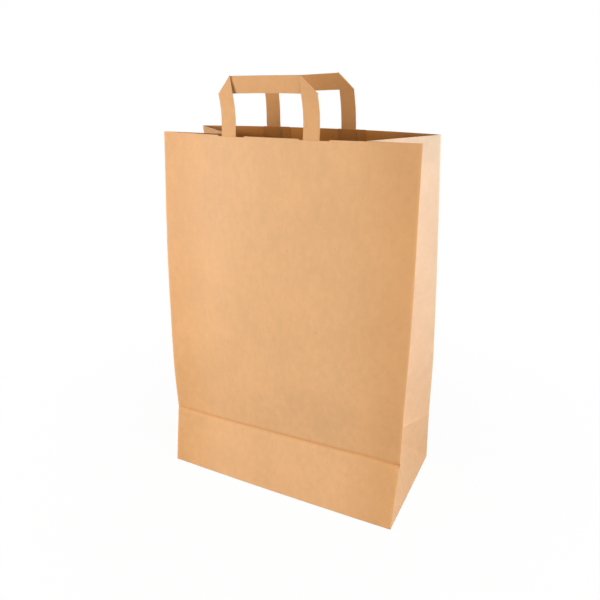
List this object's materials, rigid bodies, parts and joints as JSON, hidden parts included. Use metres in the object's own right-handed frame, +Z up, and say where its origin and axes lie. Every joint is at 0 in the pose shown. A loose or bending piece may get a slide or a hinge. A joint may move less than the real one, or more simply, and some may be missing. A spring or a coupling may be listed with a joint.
{
  "type": "paper carrier bag",
  "caption": "Upright kraft paper carrier bag with side gussets, a folded block bottom and flat folded paper handles.",
  "frame": {"origin": "middle of the base, on the surface that the bag stands on", "axes": "+Z up, +X along the width to the right as seen from the front, -Y out of the front panel"},
  "size_m": [0.318, 0.163, 0.5122],
  "materials": {
    "kraft_sheet": "smooth brown kraft paper with faint streaks, matt",
    "kraft_strap": "folded brown kraft strap, matt",
    "kraft_patch": "brown kraft patch, matt"
  },
  "bodies": {
    "root": {"bag_body": "kraft_sheet", "front_handle": "kraft_strap", "back_handle": "kraft_strap", "front_left_patch": "kraft_patch", "front_right_patch": "kraft_patch", "back_left_patch": "kraft_patch", "back_right_patch": "kraft_patch"}
  },
  "joints": []
}
